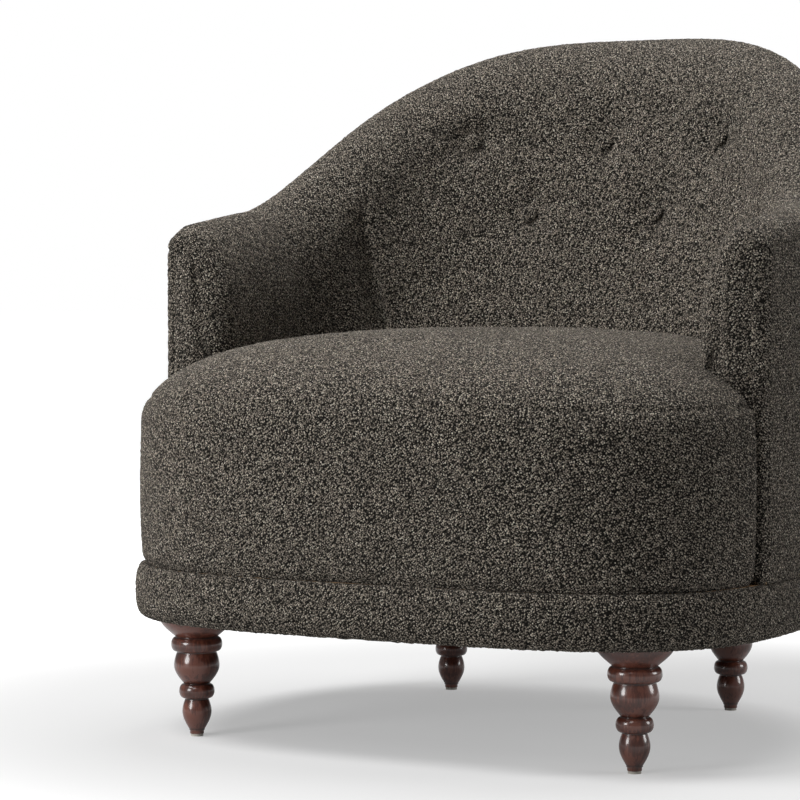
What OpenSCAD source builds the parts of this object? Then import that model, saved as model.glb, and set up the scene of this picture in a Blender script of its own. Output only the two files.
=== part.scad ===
// Barrel armchair with a tight, bow-cornered seat, a button-tufted arched back and four turned legs.
// +Z is up, the front of the chair faces -Y, and the origin is on the floor under the middle of its box.

/* [Overall] */
// Height of the back at its middle
back_h = 859; // [840:1:890]
// Height of the arm at its front end
arm_h = 607; // [590:1:630]
// Extra height that the arm gains from its front end to the barrel's widest point
arm_rise = 31; // [20:1:45]
// Fullness of the back's arch: lower is narrower
arch = 1.52; // [1.4:0.02:1.7]

/* [Plan] */
// Width over the outside covers
shell_w = 800; // [786:1:812]
// Barrel centre to the outside of the back, at the base
back_reach = 387; // [378:1:396]
// How much further back the outside of the back lies at its top
back_lean = 63; // [45:1:80]
// Squareness of the front corners
front_n = 3.6; // [3:0.1:4.4]
// Squareness of the rear corners
rear_n = 2.1; // [2:0.05:2.3]
// Barrel centre to the front face of the arms
arm_run = 143; // [130:1:156]

/* [Inside of the barrel] */
// Thickness of the arm walls, at the barrel's centre
arm_wall = 94; // [88:1:100]
// How much each arm draws back towards its front end
arm_flare = 4; // [2:1:8]
// Thickness of the back, at seat level
back_wall = 195.5; // [187:0.5:205]
// Height at which the inside back starts to lean
lean_z = 455; // [440:1:465]
// Lean of the inside back, back per unit of rise
inner_lean = 0.38; // [0.34:0.01:0.42]
// Squareness of the inside corners
inner_n = 2.4; // [2.2:0.05:2.6]
// Height of the inner roll at the arms
arm_roll = 120; // [105:1:135]
// Height of the inner roll at the back
back_roll = 86; // [75:1:100]
// Height of the outer roll
edge_roll = 28; // [20:1:34]
// Place of the ridge across the wall, from the inside
ridge_at = 0.66; // [0.6:0.01:0.75]
// Round of the arms' outer front corners
corner_round = 14; // [10:1:18]

/* [Seat] */
// Height of the seat's crown
seat_h = 484; // [474:1:494]
// Height at which the boxing starts to roll into the crown
seat_roll_z = 374; // [364:1:384]
// How far the seat's wings stay within the outside covers
wing_in = 3; // [1:0.5:6]
// Barrel centre to the front of the seat
seat_reach = 346; // [340:1:349]
// How far the boxing draws in at its bottom seam
boxing_draw = 4; // [2:1:6]
// Round of the wings' rear corners
wing_round = 18; // [12:1:22]
// Fullness of the crown towards its rim
crown_n = 2.9; // [2.2:0.1:3.2]
// Play between the seat and the covers beside it
seat_play = 0.8; // [0.5:0.1:1.2]
// Depth of the tuck where the seat meets the arms and the back
seat_tuck = 15; // [8:1:20]

/* [Base] */
// Height of the base band's lower edge
band_drop = 4.7; // [4:0.1:6]
// How far the band stands out beyond the outside covers
band_out = 4; // [2:0.5:8]
// Band surface to the outer face of the rails
band_pad = 12; // [11:0.5:14]
// Thickness of the outer base rails
rail_t = 28; // [24:1:30]
// Height of the base rails
rail_h = 58; // [54:1:62]
// Thickness of the dust cover
dust_t = 1.2; // [0.8:0.1:1.6]
// Base rails' outer face to the dust cover's edge
dust_in = 5; // [3:0.5:8]
// Thickness of the deck cloth
deck_t = 1.2; // [0.8:0.1:1.6]
// Seat's outline to the deck cloth's edge
deck_in = 9; // [6:1:12]
// Thickness of the curved seat rail
seat_rail_t = 18; // [16:1:20]

/* [Upholstery] */
// Thickness of the fabric with its lining
cover_t = 3; // [2.5:0.1:3.5]
// Inside face of the wall to the back of its padding
pad_t = 42; // [39:1:43]
// Rise of the padding's lower edge above the base rails
pad_rise = 11; // [9:1:14]
// Depth of the padding above the top rails
rail_drop = 38; // [36:1:42]
// Thickness of the padded arm front panels
panel_t = 12; // [10:1:14]
// Play between pieces that lie against each other
fit_gap = 0.3; // [0.2:0.05:0.4]

/* [Buttons] */
// Diameter of the covered buttons
button_d = 22; // [20:1:26]
// Height of the covered buttons
button_h = 8; // [6:1:10]
// Depth of the tufts
tuft_depth = 12; // [8:1:15]
// Width of the tufts
tuft_w = 30; // [26:1:34]
// Height of the upper row
upper_z = 721; // [710:1:730]
// Height of the lower row
lower_z = 626; // [616:1:636]
// Spacing of the upper row
upper_x = 173; // [165:1:180]
// Half the spacing of the lower row
lower_x = 89; // [84:1:94]
// Diameter of the tufting twine
twine_d = 2.4; // [2:0.1:3]

/* [Frame] */
// Thickness of the posts
post_t = 26; // [24:1:28]
// Outside cover's lining to the back posts
post_set = 5; // [3:0.5:8]
// Height of the top rails
top_rail_h = 24; // [20:1:28]
// Direction of the rear posts, and of the joint between back and arms, from the back's middle
back_turn = 60; // [57:1:63]
// Width of the back webbing
web_w = 40; // [36:1:42]
// Thickness of the webbing
web_t = 2; // [1.6:0.1:2.2]
// Diameter of the spring wire
wire_d = 3.8; // [3.4:0.1:4.2]
// Half width of the sinuous springs
spring_amp = 17; // [14:1:18]
// Length of one wave of the springs
spring_pitch = 60; // [50:1:66]
// Spacing of the springs
spring_step = 98; // [95:1:99]
// Straight run of a spring behind its clip
spring_tail = 8; // [6:1:12]
// Length of the spring clips
clip_l = 12; // [10:1:14]
// Width of the spring clips
clip_w = 20; // [16:1:24]
// Plate of the spring clips
clip_plate = 1; // [0.8:0.1:1.4]
// Inside of the arms to the middle of the outermost straps
web_in = 56; // [50:1:62]

/* [Legs] */
// Height of a turned leg
leg_h = 141.3; // [136:0.1:148]
// Outside covers to the front legs, sideways
front_leg_in = 116; // [112:1:122]
// Front of the seat to the front legs
front_leg_back = 101; // [98:1:106]
// Outside covers to the rear legs, sideways
rear_leg_in = 202; // [196:1:208]
// Back of the barrel to the rear legs
rear_leg_fore = 136; // [133:1:139]
// Thickness of the nylon glides
glide_t = 3; // [2:0.5:5]
// Diameter of the glides
glide_d = 15; // [13:0.5:16]
// Diameter of the glide nails
nail_d = 3; // [2.5:0.1:3.5]
// Length of the glide nails
nail_l = 14; // [10:1:18]
// Diameter of the hanger bolts
bolt_d = 8; // [7:0.5:9]
// Depth of the bolt in the leg
bolt_in_leg = 34; // [30:1:40]
// Height of the corner blocks
block_h = 44; // [40:1:48]
// Width of the corner blocks
block_w = 96; // [88:1:104]
// Length of the tee nuts' barrels
nut_l = 9; // [7:0.5:12]
// Width of the tee nuts' rims
nut_rim = 4.5; // [3:0.5:6]

/* [Turning] */
// Radius of the foot
foot_r = 8.3; // [7.8:0.1:9.5]
// Height of the foot
foot_h = 6.4; // [5:0.1:8]
// Radius of the ankle
ankle_r = 17.4; // [15:0.1:19]
// Height of the ankle's widest line
ankle_z = 27; // [24:0.5:30]
// Radius of the neck above the ankle
neck_r = 13.8; // [12:0.1:15]
// Height of the lower ring's start
ring_z = 42.6; // [41:0.2:44]
// Width of the lower ring
ring_h = 17.2; // [15:0.2:18]
// Radius of the lower ring
ring_r = 21.1; // [19:0.1:23]
// Radius of the vase
vase_r = 27.1; // [25:0.1:29]
// Height of the vase's widest line
vase_z = 82; // [78:0.5:86]
// Radius of the waist above the vase
waist_r = 23.4; // [22:0.1:25]
// Height of the upper ring's start
collar_z = 98.8; // [97:0.2:101]
// Width of the upper ring
collar_h = 17; // [15:0.2:18]
// Radius of the upper ring
collar_r = 30.5; // [28:0.1:33]
// Radius of the bowl under the frame
bowl_r = 45; // [40:0.5:48]
// Width of the small steps beside the rings
quirk = 0.6; // [0.4:0.1:0.8]

/* [Hidden] */
$fn = 48;

fabric = "#4A4540";
foam = "#E4D9A8";
timber = "#C9A878";
walnut = "#4B2A20";
steel = "#9A9CA0";

leg_top = glide_t + leg_h;
frame_z = leg_top + dust_t + 2 * fit_gap / 3;
rail_top = frame_z + rail_h;
band_z = frame_z - band_drop;
band_reach = seat_reach + band_out;
inner_reach = back_reach - back_wall;
// The barrel's centre lies where the chair's box has its middle at the origin
rear_reach = back_reach + back_lean * (back_h - edge_roll - rail_top) / (back_h - rail_top);
centre_y = (band_reach - rear_reach) / 2;
shell_a = shell_w / 2;
inner_a = shell_a - arm_wall;
band_a = shell_a + band_out;
band_back = back_reach + band_out;
arm_front_y = centre_y - arm_run;
pad_z = rail_top + pad_rise;
arm_turn = 40;
arm_end = 90 + arm_turn * (arm_run - panel_t - fit_gap) / arm_run;
side_drop = back_h - arm_h - arm_rise;

// A superellipse quarter behind the barrel's centre, and one before it, as one loop of angles
function power(v, p) = sign(v) * pow(abs(v), p);
function loop_xy(t, a, front, back, nf = front_n, nr = rear_n) = cos(t) >= 0
    ? [a * power(sin(t), 2 / nr), centre_y + back * power(cos(t), 2 / nr)]
    : [a * power(sin(t), 2 / nf), centre_y + front * power(cos(t), 2 / nf)];
function band_xy(t, inset) = loop_xy(t, band_a - inset, band_reach - inset, band_back - inset);
function ramp(q) = let (c = min(1, max(0, q))) c * c * (3 - 2 * c);

// The wall of the barrel: angle 0 is the back's middle, 90 its side, and 90 + arm_turn the arm's end
function wall_share(t) = abs(t) <= 90 ? abs(t) / 90 : 1 + (abs(t) - 90) / arm_turn;
function wall_top(t) = let (s = wall_share(t)) back_h - side_drop * ramp(pow(min(1, s), arch))
    - arm_rise * (s <= 1 ? 0.35 * pow(s, 4) : 0.35 + 0.65 * (s - 1));
function run(t) = arm_run * (abs(t) - 90) / arm_turn;
function out_reach(z) = back_reach + back_lean * (z - rail_top) / (back_h - rail_top);
function in_reach(z) = inner_reach + inner_lean * max(0, z - lean_z);
function outer_xy(t, z) = abs(t) <= 90
    ? loop_xy(t, shell_a, 1, out_reach(z))
    : [sign(t) * shell_a * pow(1 - pow(run(t) / seat_reach, front_n), 1 / front_n),
        centre_y - run(t)];
function inner_xy(t, z) = abs(t) <= 90
    ? loop_xy(t, inner_a, 1, in_reach(z), front_n, inner_n)
    : [sign(t) * (inner_a + arm_flare * (abs(t) - 90) / arm_turn), centre_y - run(t)];
function wall_t(t, z) = norm(outer_xy(t, z) - inner_xy(t, z));
function across(t, z) = (outer_xy(t, z) - inner_xy(t, z)) / wall_t(t, z);
function from_in(t, z, d) = let (p = inner_xy(t, z) + across(t, z) * d) [p.x, p.y, z];
function from_out(t, z, d) = let (p = outer_xy(t, z) - across(t, z) * d) [p.x, p.y, z];
function roll_h(t) = back_roll + (arm_roll - back_roll) * ramp(wall_share(t));

// Buttons as [x, z], and the dimple that they draw in the padding
buttons = [[-upper_x, upper_z], [0, upper_z - 4], [upper_x, upper_z], [-lower_x, lower_z],
    [lower_x, lower_z]];
function button_t(x) = asin(power(x / inner_a, inner_n / 2));
function tuft(p) = abs(p.x) > upper_x + 4 * tuft_w ? 0 : tuft_depth
    * max([for (b = buttons) exp(-(pow(p.x - b.x, 2) + pow(p.z - b.y, 2)) / pow(tuft_w, 2))]);
function face_at(t, z) = let (p = from_in(t, z, 0)) from_in(t, z, tuft(p));

// Height on the inside: the line where the lean starts lies at lean_q of the way up
lean_q = 0.4;
function inside_z(t, q) = q <= lean_q ? pad_z + (lean_z - pad_z) * q / lean_q
    : lean_z + (wall_top(t) - roll_h(t) - lean_z) * (q - lean_q) / (1 - lean_q);

// The skin of the wall, from the bottom of the inside over the roll to its outer edge.
// q runs 0 to 1 up the inside, to 2 at the ridge, and to 3 at the outer edge.
function skin(t, q, e) = let (top = wall_top(t), roll = roll_h(t)) q <= 1
    ? let (z = inside_z(t, q)) from_in(t, z, e + tuft(from_in(t, z, 0)))
    : q <= 2
    ? let (a = 90 * (q - 1), z = top - roll + (roll - e) * sin(a), w = wall_t(t, z))
        from_in(t, z, e + (ridge_at * w - e) * (1 - cos(a)) + tuft(from_in(t, z, 0)))
    : let (a = 90 * (q - 2), z = top - e - (edge_roll - e) * (1 - cos(a)), w = wall_t(t, z))
        from_out(t, z, e + ((1 - ridge_at) * w - e) * (1 - sin(a)));

// The back of the padding: behind the inside face, then over the top rails
function pad_back(t, q) = let (top = wall_top(t), roll = roll_h(t), e = cover_t + fit_gap) q <= 1
    ? from_in(t, inside_z(t, q), pad_t)
    : q <= 2
    ? from_in(t, top - roll + (roll - rail_drop) * sin(90 * (q - 1)), pad_t)
    : let (z = top - rail_drop, w = wall_t(t, z))
        from_in(t, z, pad_t + (w - e - pad_t) * sin(90 * (q - 2)));

// A solid between two grids of points, of the same rows and columns
module sheet(a, b, ring = false) {
    rows = len(a);
    cols = len(a[0]);
    size = rows * cols;
    last = ring ? rows : rows - 1;
    function id(i, j) = (i % rows) * cols + j;
    function quad(p, q, r, s, turn = false) = turn ? [[p, q, s], [q, r, s]] : [[p, q, r], [p, r, s]];
    front = [for (i = [0 : last - 1], j = [0 : cols - 2])
        each quad(id(i, j), id(i + 1, j), id(i + 1, j + 1), id(i, j + 1), 2 * i < last)];
    behind = [for (i = [0 : last - 1], j = [0 : cols - 2])
        each quad(size + id(i, j), size + id(i, j + 1), size + id(i + 1, j + 1), size + id(i + 1, j),
            2 * i < last)];
    edges = [for (i = [0 : last - 1])
        each concat(quad(id(i, 0), size + id(i, 0), size + id(i + 1, 0), id(i + 1, 0)),
            quad(id(i, cols - 1), id(i + 1, cols - 1), size + id(i + 1, cols - 1),
                size + id(i, cols - 1)))];
    ends = ring ? [] : [for (j = [0 : cols - 2])
        each concat(quad(id(0, j), id(0, j + 1), size + id(0, j + 1), size + id(0, j)),
            quad(id(rows - 1, j), size + id(rows - 1, j), size + id(rows - 1, j + 1),
                id(rows - 1, j + 1)))];
    polyhedron(points = [each for (r = a) r, each for (r = b) r],
        faces = [for (f = concat(front, behind, edges, ends)) [f[2], f[1], f[0]]], convexity = 6);
}

module mirrored(side) {
    if (side < 0) mirror([1, 0, 0]) children();
    else children();
}

function steps(from, to, n) = [for (i = [0 : n]) from + (to - from) * i / n];

/* Legs and their fixings */

front_leg = [shell_a - front_leg_in, centre_y - seat_reach + front_leg_back];
rear_leg = [shell_a - rear_leg_in, centre_y + back_reach - rear_leg_fore];
leg_places = [[-front_leg.x, front_leg.y], front_leg, [-rear_leg.x, rear_leg.y], rear_leg];
// A swelling of the turning: from r0 at z0, out to r at z, and in to r1 at z1
function swell(z0, r0, z, r, z1, r1, n = 7) = concat(
    [for (i = [0 : n - 1]) [r0 + (r - r0) * sin(90 * i / n), z0 + (z - z0) * i / n]],
    [for (i = [0 : n]) [r1 + (r - r1) * cos(90 * i / n), z + (z1 - z) * i / n]]);
function bead(z0, z1, r_in, r_out, n = 8) = [for (i = [0 : n])
    [r_in + (r_out - r_in) * sin(180 * i / n), (z0 + z1) / 2 - (z1 - z0) / 2 * cos(180 * i / n)]];

ring_top = ring_z + ring_h + quirk;
bowl_z = collar_z + collar_h + 2 * quirk;
bowl_in = waist_r + 4 * quirk;
leg_profile = concat([[0, 0], [foot_r - quirk, 0], [foot_r, quirk], [foot_r, foot_h - 4 * quirk],
    [foot_r + 2 * quirk, foot_h - 3 * quirk]],
    swell(foot_h - 2 * quirk, foot_r + quirk, ankle_z, ankle_r, ring_z - quirk, neck_r),
    bead(ring_z, ring_z + ring_h, neck_r + quirk, ring_r),
    swell(ring_top, neck_r + 3 * quirk, vase_z, vase_r, collar_z - quirk, waist_r),
    bead(collar_z, collar_z + collar_h, waist_r + quirk, collar_r),
    [[bowl_in, bowl_z - quirk]],
    [for (i = [0 : 8]) [bowl_in + (bowl_r - bowl_in) * sin(90 * i / 8), bowl_z + (leg_h - bowl_z) * i / 8]],
    [[0, leg_h]]);

module leg(place) {
    color(walnut) translate([place.x, place.y, glide_t]) difference() {
        rotate_extrude($fn = 64) polygon(leg_profile);
        translate([0, 0, leg_h - bolt_in_leg - 2]) cylinder(d = bolt_d + 2 * fit_gap, h = leg_h);
        translate([0, 0, -1]) cylinder(d = nail_d + 2 * fit_gap, h = nail_l + 2);
    }
}
module leg_glides() {
    color("#D8D4CC") for (p = leg_places) translate([p.x, p.y, 0]) {
        cylinder(d = glide_d, h = glide_t);
        cylinder(d = nail_d, h = glide_t + nail_l);
    }
}
nut_flange = 1.5;
nut_d = bolt_d + 3;
module hanger_bolts() {
    color(steel) for (p = leg_places) translate([p.x, p.y, leg_top - bolt_in_leg])
        cylinder(d = bolt_d, h = bolt_in_leg + frame_z - leg_top + block_h);
}
module tee_nuts() {
    color(steel) for (p = leg_places) translate([p.x, p.y, frame_z + block_h]) difference() {
        union() {
            cylinder(d = nut_d + 2 * nut_rim, h = nut_flange);
            translate([0, 0, -nut_l]) cylinder(d = nut_d, h = nut_l);
        }
        translate([0, 0, -nut_l - 1]) cylinder(d = bolt_d + fit_gap, h = nut_l + nut_flange + 2);
    }
}

/* Base frame */

band_step = 7.5;
module band_area(inset) {
    polygon([for (i = [0 : 360 / band_step - 1]) band_xy(band_step * i, inset)]);
}
// The area inside a line that follows the seat rail, d behind the inside of the back
module seat_area(d) {
    polygon([for (t = steps(-75, 75, 30)) let (p = from_in(t, rail_top, d)) [p.x, p.y]]);
}
module corner_blocks() {
    color(timber) for (p = leg_places) difference() {
        translate([0, 0, frame_z]) linear_extrude(block_h) difference() {
            intersection() {
                band_area(band_pad + rail_t + fit_gap);
                translate(p) square(block_w, center = true);
            }
            seat_area(rail_in + seat_rail_t + fit_gap);
        }
        translate([p.x, p.y, frame_z - 1]) cylinder(d = bolt_d + 2 * fit_gap, h = block_h + 2);
        translate([p.x, p.y, frame_z + block_h - nut_l - 1])
            cylinder(d = nut_d + 2 * fit_gap, h = nut_l + 2);
    }
}
joint_t = 0.03;
module base_rail(from, to) {
    ts = concat([from + joint_t], [for (t = [from + band_step : band_step : to - band_step]) t],
        [to - joint_t]);
    color(timber) translate([0, 0, frame_z]) linear_extrude(rail_h)
        polygon(concat([for (t = ts) band_xy(t, band_pad)],
            [for (i = [len(ts) - 1 : -1 : 0]) band_xy(ts[i], band_pad + rail_t)]));
}
front_joint = 150;
rear_joint = 52.5;
module seat_rail() {
    color(timber) translate([0, 0, frame_z]) linear_extrude(rail_h) intersection() {
        difference() {
            seat_area(rail_in + seat_rail_t);
            seat_area(rail_in);
        }
        band_area(band_pad + rail_t + fit_gap);
    }
}

/* Angles and shares of the wall that its pieces are built on */

lower_t = button_t(lower_x);
upper_t = button_t(upper_x);
function button_q(b) = let (t = button_t(b.x))
    lean_q + (1 - lean_q) * (b.y - lean_z) / (wall_top(t) - roll_h(t) - lean_z);
q_low = button_q(buttons[3]);
q_mid = button_q(buttons[1]);
q_high = button_q(buttons[2]);
wall_q = [0, lean_q, (lean_q + q_low) / 2, q_low, (q_low + q_mid) / 2, q_mid, q_high, 1.2, 1.55, 2,
    2.5, 3];
half_ts = concat(steps(0, lower_t, 2), [for (k = [1 : 3]) lower_t + (upper_t - lower_t) * k / 3],
    [for (k = [1 : 4]) upper_t + (back_turn - 0.05 - upper_t) * k / 4]);
back_ts = concat([for (i = [len(half_ts) - 1 : -1 : 1]) -half_ts[i]], half_ts);
arm_ts = concat(steps(back_turn + 0.05, 90, 4), [for (k = [1, 2]) 90 + (arm_end - 90) * k / 2]);

/* Upright frame: a member fills part of the wall between two angles */

rail_in = pad_t + web_t + 4 * fit_gap;
rail_out = cover_t + 2 * fit_gap;
rail_under = rail_drop + top_rail_h;
module upright(t0, t1, full) {
    ts = steps(t0, t1, 2);
    qs = steps(0, 1, 5);
    z0 = rail_top + fit_gap;
    function z(t, q) = z0 + q * (wall_top(t) - rail_under - 5 * fit_gap - z0);
    color(timber) sheet(
        [for (t = ts) [for (q = qs) full ? from_in(t, z(t, q), rail_in)
            : from_out(t, z(t, q), rail_out + post_set + post_t)]],
        [for (t = ts) [for (q = qs) from_out(t, z(t, q), full ? rail_out : rail_out + post_set)]]);
}
module top_rail(ts) {
    function z_up(t) = wall_top(t) - rail_drop - 3 * fit_gap;
    function z_low(t) = wall_top(t) - rail_under;
    color(timber) sheet(
        [for (t = ts) [from_in(t, z_up(t), rail_in), from_out(t, z_up(t), rail_out)]],
        [for (t = ts) [from_in(t, z_low(t), rail_in), from_out(t, z_low(t), rail_out)]]);
}
post_turn = 4;
arm_post_turn = 13;

/* Suspension */

web_end = inner_a - web_in;
web_x = [-web_end, -upper_x, -lower_x, 0, lower_x, upper_x, web_end];
module web_strap(x) {
    c = button_t(x);
    half = web_w / (inner_a + inner_reach) / sqrt(2) * 180 / PI;
    ts = steps(c - half, c + half, 2);
    function zs(t) = concat([frame_z + block_h + fit_gap], steps(lean_z, wall_top(t) - rail_drop - 2, 3));
    sheet([for (t = ts) [for (z = zs(t)) from_in(t, z, pad_t + fit_gap)]],
        [for (t = ts) [for (z = zs(t)) from_in(t, z, pad_t + fit_gap + web_t)]]);
}
module back_webbing() {
    color("#3A3A38") for (x = web_x) web_strap(x);
}
spring_x = [-2.5, -1.5, -0.5, 0.5, 1.5, 2.5] * spring_step;
rail_line = [for (t = steps(0, 75, 50)) from_in(t, rail_top, rail_in + seat_rail_t / 2)];
rail_line_n = [for (p = rail_line) [p.x, p.y]];
function spring_back(x) = lookup(abs(x), rail_line_n);
front_line = [for (t = steps(90, 180, 60)) band_xy(t, band_pad + rail_t / 2)];
front_line_n = [for (i = [len(front_line) - 1 : -1 : 0]) front_line[i]];
function spring_front(x) = lookup(abs(x), front_line_n);
spring_z = rail_top + fit_gap + clip_plate + fit_gap / 2;
module spring(x) {
    y0 = spring_front(x);
    y1 = spring_back(x);
    tail = clip_l + spring_tail;
    waves = floor((y1 - y0 - 2 * tail) / spring_pitch);
    n = waves * 8;
    body = [for (i = [0 : n]) [x + spring_amp * sin(360 * waves * i / n),
        y0 + tail + (y1 - y0 - 2 * tail) * i / n]];
    path = concat([[x, y0]], body, [[x, y1]]);
    last = len(path) - 1;
    function along(i) = let (d = path[min(last, i + 1)] - path[max(0, i - 1)]) d / norm(d);
    function side(i, s) = path[i] + s * wire_d / 2 * [-along(i).y, along(i).x];
    translate([0, 0, spring_z]) linear_extrude(wire_d)
        polygon(concat([for (i = [0 : last]) side(i, 1)], [for (i = [last : -1 : 0]) side(i, -1)]));
}
module seat_springs() {
    color(steel) for (x = spring_x) spring(x);
}
module clip(x, y) {
    slot = wire_d + fit_gap;
    translate([x, y, rail_top + fit_gap]) difference() {
        translate([-clip_w / 2, -clip_l / 2, 0]) cube([clip_w, clip_l, 2 * clip_plate + slot]);
        translate([-wire_d / 2 - fit_gap, -clip_l, clip_plate])
            cube([wire_d + 2 * fit_gap, 2 * clip_l, slot]);
    }
}
module spring_clips() {
    color(steel) for (x = spring_x) {
        clip(x, spring_front(x));
        clip(x, spring_back(x));
    }
}
deck_z = rail_top + 3 * fit_gap + 2 * clip_plate + wire_d;
foam_z = deck_z + deck_t + fit_gap;
foam_in = cover_t + fit_gap;

/* Seat: a T-shaped outline whose front and wings are open and whose sides lie between the arms */

seat_a = shell_a - wing_in;
wing_back = arm_front_y - fit_gap;
hub = [0, wing_back - 20];
// Half of the outline drawn in by e, as [x, y, open], where open is 1 on the front and the wings
function half_outline(e) = let (a = seat_a - e, b = seat_reach - e, back = wing_back - e,
    turn = 180 - acos(pow((centre_y - back + wing_round) / b, front_n / 2)),
    edge = loop_xy(turn, a, b, 1).x, side = inner_a - seat_play - e)
    concat([for (t = steps(180, turn, 9)) let (p = loop_xy(t, a, b, 1)) [p.x, p.y, 1]],
        [for (k = [30, 60, 90])
            [edge - wing_round * (1 - cos(k)), back - wing_round * (1 - sin(k)), cos(k)]],
        [[(edge - wing_round + side + arm_flare) / 2, back, 0]],
        [for (y = steps(back, centre_y, 3)) [side + arm_flare * (centre_y - y) / arm_run, y, 0]],
        [for (t = [76, 60, 45, 30, 15, 0])
            let (p = loop_xy(t, side, 1, inner_reach - seat_play - e, front_n, inner_n)) [p.x, p.y, 0]]);
function seat_outline(e) = let (half = half_outline(e))
    concat(half, [for (i = [len(half) - 2 : -1 : 1]) [-half[i].x, half[i].y, half[i].z]]);
function seat_level(p, e) = let (front = p.y < centre_y, n = front ? front_n : rear_n,
    b = front ? seat_reach - e : band_back)
    pow(pow(abs(p.x) / (seat_a - e), n) + pow(abs(p.y - centre_y) / b, n), 1 / n);
function crown(p, share, open, e) = seat_roll_z
    + (seat_h - e - seat_roll_z) * sqrt(max(0, 1 - pow(min(1, seat_level(p, e)), crown_n)))
    - (1 - open) * seat_tuck * ramp((share - 0.84) / 0.16);
// The boxing as [share of its height, draw-in as a share of boxing_draw]
boxing = [[0, 1], [0.15, 0.2], [0.5, -0.3], [1, 0]];
dome = [0.985, 0.94, 0.86, 0.73, 0.55, 0.3];
function drawn(p, d) = let (v = [p.x, p.y] - hub) hub + v * (1 - d / norm(v));
function seat_ring_low(z0, e) = [for (b = boxing) [for (p = seat_outline(e))
    let (c = drawn(p, p.z * b[1] * boxing_draw),
        low = z0 + (foam_z - rail_top - fit_gap) * (1 - p.z) * (e < foam_in ? 1 : 0),
        rim = seat_roll_z + (crown(p, 1, p.z, e) - seat_roll_z) * (1 - p.z))
    [c.x, c.y, low + b[0] * (rim - low)]]];
function seat_ring_high(e) = [for (s = dome) [for (p = seat_outline(e))
    let (c = hub + ([p.x, p.y] - hub) * s) [c.x, c.y, crown(c, s, p.z, e)]]];
module seat_form(z0, e) {
    rings = concat(seat_ring_low(z0, e), seat_ring_high(e));
    m = len(seat_outline(e));
    n = len(rings);
    pts = concat([each for (r = rings) r], [[hub.x, hub.y, z0], [hub.x, hub.y, crown(hub, 0, 1, e)]]);
    function id(i, j) = i * m + j % m;
    polyhedron(points = pts, faces = concat(
        [for (i = [0 : n - 2], j = [0 : m - 1]) [id(i, j), id(i + 1, j), id(i + 1, j + 1)]],
        [for (i = [0 : n - 2], j = [0 : m - 1]) [id(i, j), id(i + 1, j + 1), id(i, j + 1)]],
        [for (j = [0 : m - 1]) [n * m, id(0, j), id(0, j + 1)]],
        [for (j = [0 : m - 1]) [n * m + 1, id(n - 1, j + 1), id(n - 1, j)]]), convexity = 4);
}
module seat_foam() {
    color(foam) seat_form(foam_z, foam_in + fit_gap);
}
module seat_cover() {
    z0 = rail_top + fit_gap;
    color(fabric) difference() {
        seat_form(z0, 0);
        seat_form(z0 - 4, cover_t);
    }
}
module seat_deck() {
    color("#B79F78") translate([0, 0, deck_z]) linear_extrude(deck_t)
        polygon([for (p = seat_outline(deck_in)) [p.x, p.y]]);
}
module dust_cover() {
    color("#2A2A2A") translate([0, 0, leg_top + fit_gap / 3]) linear_extrude(dust_t) difference() {
        band_area(band_pad + dust_in);
        for (p = leg_places) translate(p) circle(d = bolt_d + 2 * fit_gap);
    }
}

/* Padding and covers of the wall */

function button_hole(b) = let (t = button_t(b.x)) [from_in(t, b.y, 0), across(t, b.y)];
module along_wall(b, d0, d1, d) {
    h = button_hole(b);
    translate(h[0] + [h[1].x, h[1].y, 0] * d0) rotate([0, 90, atan2(h[1].y, h[1].x)])
        cylinder(d = d, h = d1 - d0, $fn = 16);
}
module twine_holes() {
    for (b = buttons) along_wall(b, -1, pad_t + 1, twine_d + 2 * fit_gap);
}
// How far the buttons stand off the deepest point of their tufts
button_lift = 1.5;
module back_foam() {
    color(foam) difference() {
        sheet([for (t = back_ts) [for (q = wall_q) skin(t, q, foam_in)]],
            [for (t = back_ts) [for (q = wall_q) pad_back(t, q)]]);
        twine_holes();
    }
}
module arm_foam() {
    color(foam) sheet([for (t = arm_ts) [for (q = wall_q) skin(t, q, foam_in)]],
        [for (t = arm_ts) [for (q = wall_q) pad_back(t, q)]]);
}
module inside_back_cover() {
    color(fabric) difference() {
        sheet([for (t = back_ts) [for (q = wall_q) skin(t, q, 0)]],
            [for (t = back_ts) [for (q = wall_q) skin(t, q, cover_t)]]);
        twine_holes();
        for (b = buttons) at_button(b) translate([0, 0, -fit_gap])
            cylinder(d = button_d + 2 * fit_gap, h = 2 * button_h, $fn = 24);
    }
}
module inside_arm_cover() {
    color(fabric) sheet([for (t = arm_ts) [for (q = wall_q) skin(t, q, 0)]],
        [for (t = arm_ts) [for (q = wall_q) skin(t, q, cover_t)]]);
}
module outside_back_cover() {
    qs = steps(0, 1, 3);
    z0 = rail_top + fit_gap;
    function z(t, q) = z0 + q * (wall_top(t) - edge_roll - fit_gap - z0);
    color(fabric) sheet([for (t = back_ts) [for (q = qs) from_out(t, z(t, q), cover_t)]],
        [for (t = back_ts) [for (q = qs) from_out(t, z(t, q), 0)]]);
}
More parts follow.
